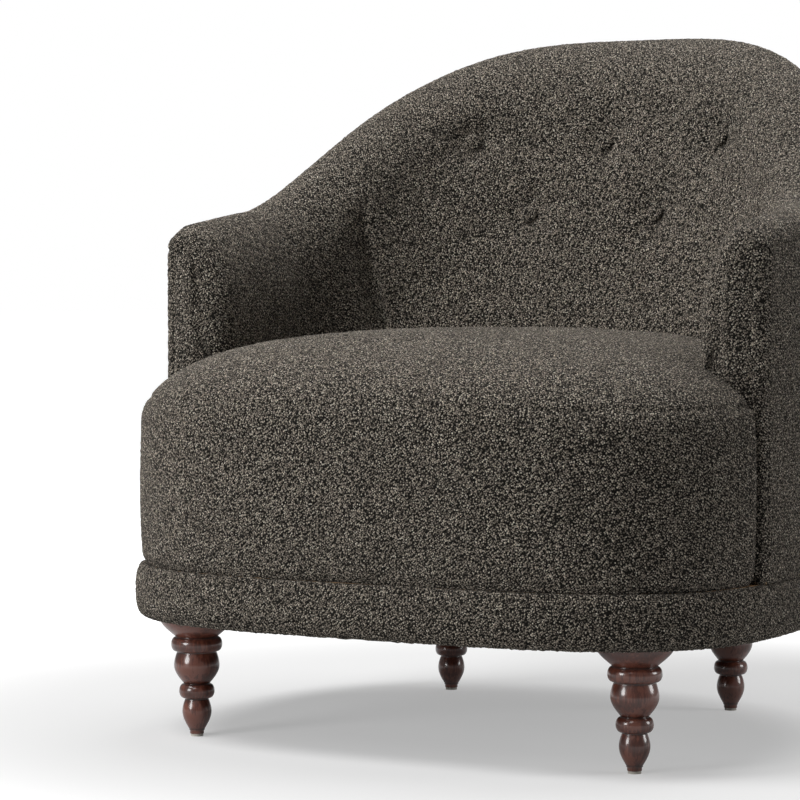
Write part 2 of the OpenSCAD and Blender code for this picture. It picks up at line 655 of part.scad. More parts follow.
// The outside arm cover turns round the arm's front corner up to the edge of the front panel
corner_turn = 90 + arm_turn * (arm_run - corner_round) / arm_run;
corner_x = outer_xy(corner_turn, 0).x - corner_round;
module outside_arm_cover() {
    qs = steps(0, 1, 3);
    z0 = rail_top + fit_gap;
    ts = concat(steps(back_turn + 0.05, 90, 4), [for (k = [1 : 3]) 90 + (corner_turn - 90) * k / 3]);
    function z(t, q) = z0 + q * (wall_top(t < corner_turn ? t : 90 + arm_turn) - edge_roll - fit_gap - z0);
    function side(d) = [for (t = ts) [for (q = qs) from_out(t, z(t, q), d)]];
    function corner(d) = [for (a = [30, 60, 90]) [for (q = qs)
        [corner_x + (corner_round - d) * cos(a), arm_front_y + corner_round - (corner_round - d) * sin(a),
            z(90 + arm_turn, q)]]];
    color(fabric) sheet(concat(side(cover_t), corner(cover_t)), concat(side(0), corner(0)));
}
module arm_front_panel() {
    t = 90 + arm_turn;
    x_in = inner_xy(t, 0).x;
    z_edge = arm_h - edge_roll;
    face = concat([[x_in, rail_top + fit_gap]],
        [for (q = steps(1, 3, 12)) [skin(t, q, 0).x, skin(t, q, 0).z]],
        [[corner_x - fit_gap, z_edge], [corner_x - fit_gap, rail_top + fit_gap]]);
    color(fabric) translate([0, arm_front_y + panel_t, 0]) rotate([90, 0, 0])
        linear_extrude(panel_t) polygon(face);
}
// The band's section as [inset from its widest line, height] from its top seam to under the rails
band_h = rail_top - band_z;
band_outer = [[0.6, 1], [0, 0.7], [0, 0.35], [0.45, 0.07], [1.2, 0]];
lip = band_pad - fit_gap;
module base_band() {
    ts = [for (i = [0 : 360 / band_step - 1]) band_step * i];
    color(fabric) sheet(
        [for (t = ts) [for (s = band_outer) let (p = band_xy(t, s[0] * band_pad))
            [p.x, p.y, band_z + s[1] * band_h]]],
        [for (t = ts) [for (s = band_outer) let (p = band_xy(t, max(lip, s[0] * band_pad)))
            [p.x, p.y, max(band_z + s[1] * band_h, s[0] > 1 ? frame_z - 2 * fit_gap : 0,
                frame_z - fit_gap)]]], true);
}

/* Buttons */

module at_button(b) {
    t = button_t(b.x);
    p = face_at(t, b.y);
    u = face_at(t + 1, b.y) - face_at(t - 1, b.y);
    v = face_at(t, b.y + 4) - face_at(t, b.y - 4);
    n = cross(u, v) / norm(cross(u, v));
    translate(p + n * button_lift) rotate([0, acos(n.z), atan2(n.y, n.x)]) children();
}
module button(b) {
    r = button_d / 2;
    color(fabric) at_button(b)
        rotate_extrude() polygon(concat([[0, 0], [r - 1.5, 0], [r - 0.4, 0.6]],
            [for (a = [0 : 15 : 90]) [r * cos(a), 2 + (button_h - 2) * sin(a)]]));
}
module button_twines() {
    color("#D9D2C0") for (b = buttons)
        along_wall(b, tuft_depth - button_lift + 3 * fit_gap, pad_t - fit_gap, twine_d);
}

leg(leg_places[0]);  // leg_front_left
leg(leg_places[1]);  // leg_front_right
leg(leg_places[2]);  // leg_rear_left
leg(leg_places[3]);  // leg_rear_right
leg_glides();
hanger_bolts();
tee_nuts();
corner_blocks();
base_rail(front_joint, 360 - front_joint);  // front_rail
mirrored(-1) base_rail(rear_joint, front_joint);  // side_rail_left
base_rail(rear_joint, front_joint);  // side_rail_right
base_rail(-rear_joint, rear_joint);  // rear_rail
seat_rail();
mirrored(-1) upright(arm_end - arm_post_turn, arm_end, true);  // arm_post_left
upright(arm_end - arm_post_turn, arm_end, true);  // arm_post_right
mirrored(-1) upright(back_turn - post_turn, back_turn + post_turn, false);  // back_post_left
upright(back_turn - post_turn, back_turn + post_turn, false);  // back_post_right
upright(-post_turn, post_turn, false);  // back_post_middle
top_rail(back_ts);  // back_top_rail
mirrored(-1) top_rail(arm_ts);  // arm_rail_left
top_rail(arm_ts);  // arm_rail_right
back_webbing();
seat_springs();
spring_clips();
seat_deck();
dust_cover();
seat_foam();
seat_cover();
back_foam();
mirrored(-1) arm_foam();  // arm_foam_left
arm_foam();  // arm_foam_right
inside_back_cover();
mirrored(-1) inside_arm_cover();  // inside_arm_cover_left
inside_arm_cover();  // inside_arm_cover_right
outside_back_cover();
mirrored(-1) outside_arm_cover();  // outside_arm_cover_left
outside_arm_cover();  // outside_arm_cover_right
mirrored(-1) arm_front_panel();  // arm_front_panel_left
arm_front_panel();  // arm_front_panel_right
base_band();
button(buttons[0]);  // button_upper_left
button(buttons[1]);  // button_upper_middle
button(buttons[2]);  // button_upper_right
button(buttons[3]);  // button_lower_left
button(buttons[4]);  // button_lower_right
button_twines();
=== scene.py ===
import math

import bmesh
import bpy
from mathutils import Matrix, Vector, noise


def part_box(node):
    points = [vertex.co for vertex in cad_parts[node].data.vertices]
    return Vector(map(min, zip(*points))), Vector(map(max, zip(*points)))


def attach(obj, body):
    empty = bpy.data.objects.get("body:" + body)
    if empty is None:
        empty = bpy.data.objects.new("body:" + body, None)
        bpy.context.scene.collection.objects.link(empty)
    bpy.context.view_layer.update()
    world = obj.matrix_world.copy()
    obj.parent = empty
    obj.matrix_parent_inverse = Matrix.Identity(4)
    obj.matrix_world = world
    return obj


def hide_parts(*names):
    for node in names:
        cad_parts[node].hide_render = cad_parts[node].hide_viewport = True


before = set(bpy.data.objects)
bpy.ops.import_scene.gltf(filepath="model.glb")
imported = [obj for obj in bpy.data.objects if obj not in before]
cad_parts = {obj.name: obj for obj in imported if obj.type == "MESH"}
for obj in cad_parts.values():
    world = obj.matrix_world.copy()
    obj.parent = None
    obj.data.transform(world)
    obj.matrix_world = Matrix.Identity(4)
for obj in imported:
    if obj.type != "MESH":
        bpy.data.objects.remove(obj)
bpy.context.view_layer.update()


# ---- Base frame --------------------------------------------------------------------------------
# Sawn beech rails, bent to the plan of the chair and dowelled end to end, with a glued block in
# each corner that carries a leg, and a curved rail across the middle for the springs. Only seen
# from below, where the dust cover leaves the rails' edges bare.


def srgb(code):
    """A hex colour as the linear colour that a socket takes."""
    parts = [int(code[i:i + 2], 16) / 255 for i in (1, 3, 5)]
    return tuple(c / 12.92 if c <= 0.04045 else ((c + 0.055) / 1.055) ** 2.4
                 for c in parts) + (1,)


def finish(name, **sockets):
    """A material whose shader has the given values all over."""
    material = bpy.data.materials.new(name)
    material.use_nodes = True
    shader = material.node_tree.nodes["Principled BSDF"]
    for socket, value in sockets.items():
        shader.inputs[socket.replace("_", " ")].default_value = value
    return material


def add(material, kind, inputs=None, **settings):
    """Adds a node, with its settings, and links or sets its inputs."""
    made = material.node_tree.nodes.new(kind)
    for name, value in settings.items():
        setattr(made, name, value)
    for name, value in (inputs or {}).items():
        if isinstance(value, bpy.types.NodeSocket):
            material.node_tree.links.new(value, made.inputs[name])
        else:
            made.inputs[name].default_value = value
    return made


def tones(material, value, *stops):
    """The colour of a ramp over a value. Its stops are positions and hex colours, in order."""
    made = add(material, "ShaderNodeValToRGB", {"Fac": value})
    marks = made.color_ramp.elements
    for mark, (position, code) in zip(marks, (stops[0], stops[-1])):
        mark.position, mark.color = position, srgb(code)
    for position, code in stops[1:-1]:
        mark = marks.new(position)
        mark.color = srgb(code)
    return made.outputs["Color"]


def relief(material, height, strength, distance):
    """The normals of a bump that is the distance high, in metres."""
    return add(material, "ShaderNodeBump", {"Height": height, "Strength": strength,
                                            "Distance": distance}).outputs["Normal"]


def link(material, **sources):
    """Links node outputs to the inputs of the material's shader."""
    shader = material.node_tree.nodes["Principled BSDF"]
    for socket, source in sources.items():
        material.node_tree.links.new(source, shader.inputs[socket.replace("_", " ")])


def dress(material, *nodes):
    """Gives carried-over nodes their finish."""
    for name in nodes:
        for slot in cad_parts[name].material_slots:
            slot.material = material


# Beech, planed and left raw: pale, with fine darker flecks along the grain and a dry surface
beech = finish("beech_raw", Roughness=0.62)
place = add(beech, "ShaderNodeTexCoord").outputs["Object"]
along = add(beech, "ShaderNodeMapping", {"Vector": place, "Scale": (0.12, 1, 1.6)}).outputs[0]
grain = add(beech, "ShaderNodeTexNoise",
            {"Vector": along, "Scale": 95, "Detail": 5, "Roughness": 0.6}).outputs["Fac"]
fleck = add(beech, "ShaderNodeTexNoise",
            {"Vector": along, "Scale": 420, "Detail": 2}).outputs["Fac"]
link(beech, Base_Color=tones(beech, grain, (0.3, "#A87B4F"), (0.7, "#D2AC7C")),
     Normal=relief(beech, fleck, 0.35, 0.0004))
dress(beech, "front_rail", "side_rail_left", "side_rail_right", "rear_rail", "seat_rail",
      "corner_blocks", "arm_post_left", "arm_post_right", "back_post_left", "back_post_right",
      "back_post_middle", "back_top_rail", "arm_rail_left", "arm_rail_right")


# ---- Fixings and springs -----------------------------------------------------------------------
# Zinc-plated hanger bolts and tee nuts hold the legs, and sinuous springs of drawn wire run from
# rail to rail in stamped clips. The glides under the legs are moulded nylon on a nail.

# Zinc plate on steel: a cool, slightly cloudy metal with soft reflections
zinc = finish("steel_zinc_plated", Metallic=1.0)
place = add(zinc, "ShaderNodeTexCoord").outputs["Object"]
cloud = add(zinc, "ShaderNodeTexNoise",
            {"Vector": place, "Scale": 260, "Detail": 4}).outputs["Fac"]
rough = add(zinc, "ShaderNodeMapRange", {"Value": cloud, "To Min": 0.28, "To Max": 0.46})
link(zinc, Base_Color=tones(zinc, cloud, (0, "#8E9196"), (1, "#C3C6CA")),
     Roughness=rough.outputs["Result"])
dress(zinc, "hanger_bolts", "tee_nuts", "spring_clips", "seat_springs")

# Nylon, moulded: off-white, with a faint scuffed bloom
nylon = finish("nylon_moulded", Roughness=0.42, IOR=1.53)
place = add(nylon, "ShaderNodeTexCoord").outputs["Object"]
scuff = add(nylon, "ShaderNodeTexNoise",
            {"Vector": place, "Scale": 700, "Detail": 3}).outputs["Fac"]
link(nylon, Base_Color=tones(nylon, scuff, (0, "#BDB8AD"), (1, "#DAD6CC")))
dress(nylon, "leg_glides")


# ---- Webbing, deck and dust cover --------------------------------------------------------------
# Elastic straps carry the padding of the back, a sheet of spun cloth lies over the springs, and
# a black one closes the frame from below. Waxed twine ties the buttons to the straps.

# Elastic webbing, woven: black, with ribs every 2 mm
elastic = finish("webbing_woven", Roughness=0.85)
place = add(elastic, "ShaderNodeTexCoord").outputs["Object"]
ribs = add(elastic, "ShaderNodeTexWave", {"Vector": place, "Scale": 160, "Distortion": 0.4},
           bands_direction="Z").outputs["Fac"]
link(elastic, Base_Color=tones(elastic, ribs, (0, "#161616"), (1, "#3A3A38")),
     Normal=relief(elastic, ribs, 0.5, 0.0006))
dress(elastic, "back_webbing")

# Spunbond cloth: matt, with the small embossed points that hold its fibres, 2 mm apart
for name, dark, pale, node in (("deck_cloth_spun", "#97825F", "#B79F78", "seat_deck"),
                               ("dust_cloth_spun", "#141414", "#2C2C2B", "dust_cover")):
    cloth = finish(name, Roughness=0.9)
    place = add(cloth, "ShaderNodeTexCoord").outputs["Object"]
    points = add(cloth, "ShaderNodeTexVoronoi",
                 {"Vector": place, "Scale": 500, "Randomness": 0.15}).outputs["Distance"]
    fibres = add(cloth, "ShaderNodeTexNoise",
                 {"Vector": place, "Scale": 900, "Detail": 4}).outputs["Fac"]
    link(cloth, Base_Color=tones(cloth, fibres, (0.35, dark), (0.65, pale)),
         Normal=relief(cloth, points, 0.5, 0.0004))
    dress(cloth, node)

# Waxed flax twine: straw-coloured, with its lay showing as fine bands
twine = finish("twine_waxed", Roughness=0.5)
place = add(twine, "ShaderNodeTexCoord").outputs["Object"]
lay = add(twine, "ShaderNodeTexWave", {"Vector": place, "Scale": 300, "Distortion": 2},
          bands_direction="DIAGONAL").outputs["Fac"]
link(twine, Base_Color=tones(twine, lay, (0, "#9C8B69"), (1, "#D9CBA8")))
dress(twine, "button_twines")


# ---- Legs --------------------------------------------------------------------------------------
# Four legs turned from solid beech: a small foot, an ankle, a ring, a vase, a collar and a bowl
# that spreads under the frame. They are stained walnut and lacquered semi-gloss, with painted shade
# in the quirks.


def build(name, bm, material):
    """Makes a finished, smooth-shaded piece that rides with the chair."""
    mesh = bpy.data.meshes.new(name)
    bm.to_mesh(mesh)
    bm.free()
    piece = bpy.data.objects.new(name, mesh)
    bpy.context.collection.objects.link(piece)
    mesh.materials.append(material)
    mesh.shade_smooth()
    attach(piece, "root")
    return piece


def spun(profile, steps, placed):
    """A profile in mm, as radii and heights, spun round its axis and moved to its place."""
    bm = bmesh.new()
    points = [bm.verts.new((r / 1000, 0, z / 1000)) for r, z in profile]
    for a, b in zip(points, points[1:]):
        bm.edges.new((a, b))
    bmesh.ops.spin(bm, geom=bm.verts[:] + bm.edges[:], cent=(0, 0, 0), axis=(0, 0, 1),
                   angle=math.tau, steps=steps, use_merge=True)
    bmesh.ops.remove_doubles(bm, verts=bm.verts, dist=1e-6)
    bmesh.ops.recalc_face_normals(bm, faces=bm.faces)
    bmesh.ops.transform(bm, matrix=placed, verts=bm.verts)
    return bm


def swelling(z0, r0, z, r, z1, r1, n=16):
    """Points of a turned swelling: from r0 at z0, out to r at z, and in to r1 at z1."""
    quarter = [math.pi / 2 * i / n for i in range(n + 1)]
    rise = [(r0 + (r - r0) * math.sin(angle), z0 + (z - z0) * i / n)
            for i, angle in enumerate(quarter[:n])]
    fall = [(r1 + (r - r1) * math.cos(angle), z + (z1 - z) * i / n)
            for i, angle in enumerate(quarter)]
    return rise + fall


def ring(z0, z1, r0, r1, n=18):
    """Points of a turned half-round ring."""
    return [(r0 + (r1 - r0) * math.sin(math.pi * i / n) ** 0.8,
             (z0 + z1) / 2 - (z1 - z0) / 2 * math.cos(math.pi * i / n)) for i in range(n + 1)]


# Walnut stain under lacquer: red-brown, with painted shade in the quirks, fine grain up the leg
# and small sharp highlights from the lacquer
walnut = finish("walnut_stain_lacquered", Roughness=0.32, Coat_Weight=0.9, Coat_Roughness=0.10)
place = add(walnut, "ShaderNodeTexCoord").outputs["Object"]
upright = add(walnut, "ShaderNodeMapping", {"Vector": place, "Scale": (1, 1, 0.07)}).outputs[0]
grain = add(walnut, "ShaderNodeTexNoise",
            {"Vector": upright, "Scale": 330, "Detail": 6, "Roughness": 0.65}).outputs["Fac"]
blotch = add(walnut, "ShaderNodeTexNoise",
             {"Vector": place, "Scale": 34, "Detail": 2}).outputs["Fac"]
mixed = add(walnut, "ShaderNodeMath", {0: grain, 1: blotch}, operation="ADD").outputs[0]
stain = tones(walnut, mixed, (0.72, "#43231A"), (0.98, "#5E3226"), (1, "#754334"))

# The ramp of painted shade in the quirks goes 6.5 times up a metre, so once up a leg
per_metre, quirk_half, quirk_shade_stops = 6.5, 0.0022, []
for z in (0.0087, 0.0452, 0.0634, 0.1013, 0.1193):
    quirk_shade_stops += [((z - quirk_half) * per_metre, "#FFFFFF"), (z * per_metre, "#8A8078"),
                    ((z + quirk_half) * per_metre, "#FFFFFF")]
height = add(walnut, "ShaderNodeSeparateXYZ", {"Vector": place}).outputs["Z"]
climb = add(walnut, "ShaderNodeMath", {0: height, 1: per_metre}, operation="MULTIPLY").outputs[0]
quirk_shade = tones(walnut, climb, (0, "#FFFFFF"), *quirk_shade_stops, (1, "#FFFFFF"))
# Painted shade: the stain is multiplied darker in thin bands at the heights of the quirks
stain_and_quirk_shade = add(walnut, "ShaderNodeMix", {0: 1.0, 6: stain, 7: quirk_shade}, data_type="RGBA",
              blend_type="MULTIPLY").outputs[2]
link(walnut, Base_Color=stain_and_quirk_shade, Normal=relief(walnut, grain, 0.12, 0.0003))

# The turning's profile in mm, from the floor up
turning = [(0.0, 0.0), (7.7, 0.0), (8.15, 0.15), (8.3, 0.6), (8.3, 3.6), (8.7, 4.2), (9.5, 4.6)]
turning += swelling(5.2, 8.9, 27, 17.4, 42, 13.8) + ring(42.6, 59.8, 14.4, 21.1)
turning += swelling(60.4, 15.6, 82, 27.1, 98.2, 23.4) + ring(98.8, 115.8, 24, 30.5)
turning += [(25.8, 116.4)]
turning += [(25.8 + 19.2 * math.sin(math.pi / 2 * i / 16), 117 + 24.3 * i / 16)
            for i in range(17)]
turning += [(0.0, 141.3)]
for name in ("leg_front_left", "leg_front_right", "leg_rear_left", "leg_rear_right"):
    low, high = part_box(name)
    foot = Vector(((low.x + high.x) / 2, (low.y + high.y) / 2, low.z))
    leg = build(name + "_turned", spun(turning, 64, Matrix.Translation(foot)), walnut)
    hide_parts(name)


# ---- Inside upholstery -------------------------------------------------------------------------
# The barrel's padding: foam over the straps and rails, under a boucle cover that runs up the
# inside, over the rolled edge and down to a seam on the outside. Back and arms are separate pads,
# pulled together into a crease low down where they meet. Five buttons draw the back in.

# The plan is drawn round the barrel's centre. A turn is in degrees from the middle of the back:
# 90 is the widest point of the barrel, and the arms run on from there to 130, their fronts. The
# values are how far band, arms and seat reach from the centre, half the wall's widths outside and
# inside, and the powers of the rounded outlines.
BAND_FRONT, BAND_BACK = 0.350, 0.391
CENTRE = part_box("base_band")[0].y + BAND_FRONT
ARM_RUN, ARM_TURN = 0.143, 40
OUTER_HALF, INNER_HALF = 0.400, 0.306
SEAT_FRONT = 0.346
SQUARE, ROUND, INNER_ROUND = 3.6, 2.1, 2.4

# The buttons, across and up in metres, the height of the padding's foot, and the height from
# which the inside leans back
BUTTONS = ((-0.173, 0.721), (0, 0.717), (0.173, 0.721), (-0.089, 0.626), (0.089, 0.626))
PAD_FOOT, LEAN_FROM = 0.2147, 0.455


def power(v, p):
    """The power of a number's size, with the number's sign."""
    return math.copysign(abs(v) ** p, v)


def ramp(q):
    """A smooth step from 0 to 1 as q goes from 0 to 1."""
    q = min(1, max(0, q))
    return q * q * (3 - 2 * q)


def bell(x, width):
    """1 where x is 0, dying away over the width on both sides."""
    return math.exp(-(x / width) ** 2)


def loop(t, half, front, back, rear_power=ROUND):
    """The outline of a plan at a turn: squared quarters before the centre, round ones behind."""
    s, c = math.sin(math.radians(t)), math.cos(math.radians(t))
    reach, n = (back, rear_power) if c >= 0 else (front, SQUARE)
    return Vector((half * power(s, 2 / n), CENTRE + reach * power(c, 2 / n)))


def wall_top(t):
    """Height of the ridge: it sweeps down from the back to the arms, which fall to their fronts."""
    top, sweep, arm_fall = 0.859, 0.221, 0.031
    way = abs(t) / 90 if abs(t) <= 90 else 1 + (abs(t) - 90) / ARM_TURN
    fall = arm_fall * (0.35 * way ** 4 if way <= 1 else 0.35 + 0.65 * (way - 1))
    return top - sweep * ramp(min(1, way) ** 1.52) - fall + 0.003 * bell(way - 0.62, 0.13)


def outer(t, z):
    """The outside of the wall. Its back leans out from the rails to the top, 655 mm above."""
    if abs(t) <= 90:
        return loop(t, OUTER_HALF, 1, 0.387 + 0.063 * (z - 0.2037) / 0.6553)
    run = ARM_RUN * (abs(t) - 90) / ARM_TURN
    half = OUTER_HALF * (1 - (run / SEAT_FRONT) ** SQUARE) ** (1 / SQUARE)
    return Vector((math.copysign(half, t), CENTRE - run))


def inner(t, z):
    """The inside of the wall, which leans back from above the seat's rear."""
    if abs(t) <= 90:
        return loop(t, INNER_HALF, 1, 0.1915 + 0.38 * max(0, z - LEAN_FROM), INNER_ROUND)
    half = INNER_HALF + 0.0001 * (abs(t) - 90)
    return Vector((math.copysign(half, t), CENTRE - ARM_RUN * (abs(t) - 90) / ARM_TURN))


def across(t, z):
    """The wall at a turn and a height: its inside, the way outwards, and its thickness."""
    inside = inner(t, z)
    way = outer(t, z) - inside
    return inside, way / way.length, way.length


def joint(z):
    """Angle of the line where back and arm meet: it leans forward as it rises."""
    return min(60, max(47, 49 + (z - 0.484) * 80))


def softness(x, z, y=0, size=0.085):
    """Slow unevenness of hand-laid padding, about -1 to 1."""
    large = noise.noise(Vector((x, y, z)) / size)
    return large + 0.5 * noise.noise(Vector((x + 3, y, z)) / size * 2.3)


def drawn_in(t, z, p):
    """How far the cover lies behind its even surface: tufts, their puckers, and the crease."""
    depth, radius = 0.0, 0.34
    if abs(t) < 60:
        for x0, z0 in BUTTONS:
            r = math.hypot(p.x - x0, z - z0)
            turn = math.atan2(z - z0, p.x - x0)
            tuft = 0.012 * bell(r, 0.030)
            pucker = 0.0011 * math.cos(7 * turn + 40 * x0) * bell(r - 0.024, 0.014)
            depth = max(depth, tuft + pucker)
    s = (abs(t) - joint(z)) * math.radians(1) * radius
    low_down = ramp((0.70 - z) / 0.2)
    above_seat = ramp((z - 0.488) / 0.05)
    valley = 0.015 * low_down * bell(s, 0.011 if s < 0 else 0.034)
    crease = 0.0014 * low_down * bell(s, 0.0016)
    shoulder = 0.0035 * above_seat * low_down * bell(s + 0.036, 0.022)
    lumps = above_seat * 0.0011 * softness(p.x, z, p.y)
    return depth + valley + crease - shoulder + lumps


# Where the ridge lies in the wall's thickness, how far the roll's seam lies below the ridge, and
# how deep the covers are drawn in at a seam
RIDGE, ROLL_DROP, SEAM_DEPTH = 0.66, 0.028, 0.0022


def wall_point(t, q):
    """A point of the cover: q goes to 1 up the inside, to 2 at the ridge, to 3 at the seam."""
    top, roll = wall_top(t), 0.086 + 0.034 * ramp(abs(t) / 90)
    if q <= 0.4:
        z = PAD_FOOT + (LEAN_FROM - PAD_FOOT) * q / 0.4
    elif q <= 1:
        z = LEAN_FROM + (top - roll - LEAN_FROM) * (q - 0.4) / 0.6
    elif q <= 2:
        z = top - roll + roll * math.sin(math.pi / 2 * (q - 1))
    else:
        z = top - ROLL_DROP * (1 - math.cos(math.pi / 2 * (q - 2)))
    inside, out, width = across(t, z)
    if q <= 1:
        depth = drawn_in(t, z, inside)
    elif q <= 2:
        depth = RIDGE * width * (1 - math.cos(math.pi / 2 * (q - 1)))
        depth += drawn_in(t, z, inside) * (2 - q)
    else:
        depth = width - (1 - RIDGE) * width * (1 - math.sin(math.pi / 2 * (q - 2)))
        depth -= SEAM_DEPTH * bell(q - 3, 0.05)
    p = inside + out * depth
    return Vector((p.x, p.y, z))


def wall_behind(t, q):
    """The hidden back of the padding, against the straps and over the top rails."""
    rail_foot, padding, cover = wall_top(t) - 0.12, 0.042, 0.0033
    if q <= 1:
        z = PAD_FOOT + (rail_foot - PAD_FOOT) * q
    else:
        z = rail_foot + 0.082 * math.sin(math.pi / 2 * min(1, q - 1))
    inside, out, width = across(t, z)
    depth = padding
    if q > 2:
        depth += (width - cover - padding) * math.sin(math.pi / 2 * (q - 2))
    p = inside + out * depth
    return Vector((p.x, p.y, z))


# Shares of the section's way round and the q there: hidden foot, inside, roll, outer roll. The
# rest of the way is the hidden back.
WAY = ((0.00, 0.06, 0.0, 0.4), (0.06, 0.46, 0.4, 1.0), (0.46, 0.70, 1.0, 2.0),
       (0.70, 0.82, 2.0, 3.0))


def cover_q(b):
    """The q at a share b of the way round the section, or None on its hidden back."""
    for b0, b1, q0, q1 in WAY:
        if b <= b1 + 1e-9:
            return q0 + (q1 - q0) * (b - b0) / (b1 - b0)
    return None


def section(t_of, b):
    """A point of the wall's section. t_of gives the turn at a height, and a rough one is enough."""
    q = cover_q(b)
    if q is not None:
        return wall_point(t_of(LEAN_FROM + 0.3 * (q - 0.4) if q > 0.4 else 0.4), q)
    q = 3 * (1 - b) / (1 - WAY[-1][1])
    return wall_behind(t_of(0.215 + 0.55 * min(1, q)), q)


def shaped_grid(columns, rows, place):
    """A grid whose points go to place(a, b), with a and b from 0 to 1, merged where they meet."""
    bm = bmesh.new()
    bmesh.ops.create_grid(bm, x_segments=columns, y_segments=rows, size=0.5)
    for v in bm.verts:
        v.co = place(v.co.x + 0.5, v.co.y + 0.5)
    bmesh.ops.remove_doubles(bm, verts=bm.verts, dist=2e-6)
    return bm


def closed(bm):
    """Closes what is still open and turns the faces outwards."""
    bmesh.ops.holes_fill(bm, edges=[e for e in bm.edges if e.is_boundary], sides=0)
    bmesh.ops.triangulate(bm, faces=[f for f in bm.faces if len(f.verts) > 4])
    bmesh.ops.recalc_face_normals(bm, faces=bm.faces)
    if bm.calc_volume(signed=True) < 0:
        bmesh.ops.reverse_faces(bm, faces=bm.faces)
    return bm


# Boucle of wool and cotton: curled loops 2 mm apart with nubs 3 to 4 mm wide among them, and
# painted shade, almost black, in the gaps between them; grey-brown to cream from loop to loop,
# matt, with a faint fuzz at its rims. The loops lie askew to the chair, so that none of them line
# up on its flat faces.
boucle = finish("boucle_wool", Roughness=0.95, Specular_IOR_Level=0.12, Sheen_Weight=0.22,
                Sheen_Roughness=0.45, Sheen_Tint=srgb("#E9DFD2"))
place = add(boucle, "ShaderNodeTexCoord").outputs["Object"]
askew = add(boucle, "ShaderNodeMapping",
            {"Vector": place, "Rotation": (0.62, 0.48, 0.35)}).outputs[0]
wander = add(boucle, "ShaderNodeTexNoise", {"Vector": askew, "Scale": 260, "Detail": 1})
moved = add(boucle, "ShaderNodeVectorMath", {0: wander.outputs["Color"], "Scale": 0.0016},
            operation="SCALE").outputs[0]
yarn = add(boucle, "ShaderNodeVectorMath", {0: askew, 1: moved}, operation="ADD").outputs[0]
strand = add(boucle, "ShaderNodeTexVoronoi", {"Vector": yarn, "Scale": 490, "Randomness": 0.75})
nub = add(boucle, "ShaderNodeTexVoronoi", {"Vector": yarn, "Scale": 290, "Randomness": 0.9})
dye = add(boucle, "ShaderNodeSeparateColor", {"Color": strand.outputs["Color"]})
loop_rise = add(boucle, "ShaderNodeMapRange", {
    "Value": strand.outputs["Distance"], "From Min": 0.16, "From Max": 0.62, "To Min": 1.0,
    "To Max": 0.0}).outputs[0]
nub_rise = add(boucle, "ShaderNodeMapRange", {
    "Value": nub.outputs["Distance"], "From Min": 0.15, "From Max": 0.75, "To Min": 1.0,
    "To Max": 0.0}).outputs[0]
stand = add(boucle, "ShaderNodeMath", {0: dye.outputs[1], 1: 0.6, 2: 0.5},
            operation="MULTIPLY_ADD").outputs[0]
loops = add(boucle, "ShaderNodeMath", {0: loop_rise, 1: stand}, operation="MULTIPLY").outputs[0]
rise = add(boucle, "ShaderNodeMath", {0: nub_rise, 1: 0.14, 2: loops},
           operation="MULTIPLY_ADD").outputs[0]
dyed = tones(boucle, dye.outputs[0], (0, "#83796D"), (0.45, "#AA9F91"), (0.8, "#D6C9B7"),
             (1, "#FFF6E6"))
# Painted shade: where loops and nubs sink low, the colour goes almost black, for the shade between
# them
lit = add(boucle, "ShaderNodeMapRange", {"Value": rise, "From Min": 0.28, "From Max": 0.53})
weave_with_gap_shade = add(boucle, "ShaderNodeMix", {0: lit.outputs[0], 6: srgb("#11100D"), 7: dyed},
            data_type="RGBA").outputs[2]
link(boucle, Base_Color=weave_with_gap_shade, Normal=relief(boucle, rise, 1.0, 0.0033))

# Heaps of loops, 3 to 4 mm wide, that stand out of every cover and make its outline woolly
heaps = bpy.data.textures.new("boucle_heaps", "CLOUDS")
heaps.noise_scale, heaps.noise_depth = 0.0034, 2


def woolly(piece, levels=1):
    """Gives a cover of boucle a finer mesh and raises the heaps of loops out of it."""
    finer = piece.modifiers.new("finer", "SUBSURF")
    finer.subdivision_type = "SIMPLE"
    finer.levels = finer.render_levels = levels
    lift = piece.modifiers.new("heaps", "DISPLACE")
    lift.texture, lift.texture_coords = heaps, "LOCAL"
    lift.strength, lift.mid_level = 0.0026, 0.5


def back_turn(a, z):
    """The turn of a column of the back. The columns are closer towards the creases."""
    u = 2 * a - 1
    return joint(z) * (0.25 * u + 0.75 * math.sin(math.pi / 2 * u))


back = build("inside_back_upholstery", closed(shaped_grid(
    190, 150, lambda a, b: section(lambda z: back_turn(a, z), b))), boucle)
woolly(back)
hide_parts("back_foam", "inside_back_cover")

# The flat front of the arms, the radius of the soft edge round it, and the turn where that edge
# begins. The front starts at FRONT_Q, and the columns after FRONT_SHARE go round the edge.
FRONT, EDGE = CENTRE - ARM_RUN, 0.027
ARM_END = 90 + ARM_TURN * (ARM_RUN - EDGE) / ARM_RUN
FRONT_Q, FRONT_SHARE = 0.3, 0.88


def rounding(q):
    """Radius of an arm's soft front edge, which tightens over the top to the outside."""
    return EDGE - 0.011 * ramp(q - 1.9)


def arm_front(q, inset, depth):
    """A point on the soft front edge of an arm: inset from its profile, depth behind its face."""
    before, here, after = (wall_point(90 + ARM_TURN, min(3, max(FRONT_Q, q + d)))
                           for d in (-0.01, 0, 0.01))
    way = after - before
    inward = Vector((way.z, 0, -way.x)).normalized()
    return Vector((here.x, FRONT + depth, here.z)) + inward * inset


def arm_turn(side, share, z):
    """The turn of a column of an arm. The columns are closer at both ends."""
    run = share - 0.09 * math.sin(math.tau * share)
    return side * (joint(z) + (ARM_END - joint(z)) * run)


def arm_point(side, a, b):
    """A point of an arm: along it from the crease, then round its soft front edge."""
    wrap, q = max(0, (a - FRONT_SHARE) / (1 - FRONT_SHARE)), cover_q(b)
    if wrap == 0 or q is None:
        return section(lambda z: arm_turn(side, min(1, a / FRONT_SHARE), z), b)
    angle = math.pi / 2 * min(1, wrap * 1.08)
    tuck = 0.0007 if wrap > 0.99 else 0
    p = arm_front(q, rounding(q) * (1 - math.cos(angle)) + tuck,
                  rounding(q) * (1 - math.sin(angle)) + tuck / 2)
    return Vector((side * p.x, p.y, p.z))


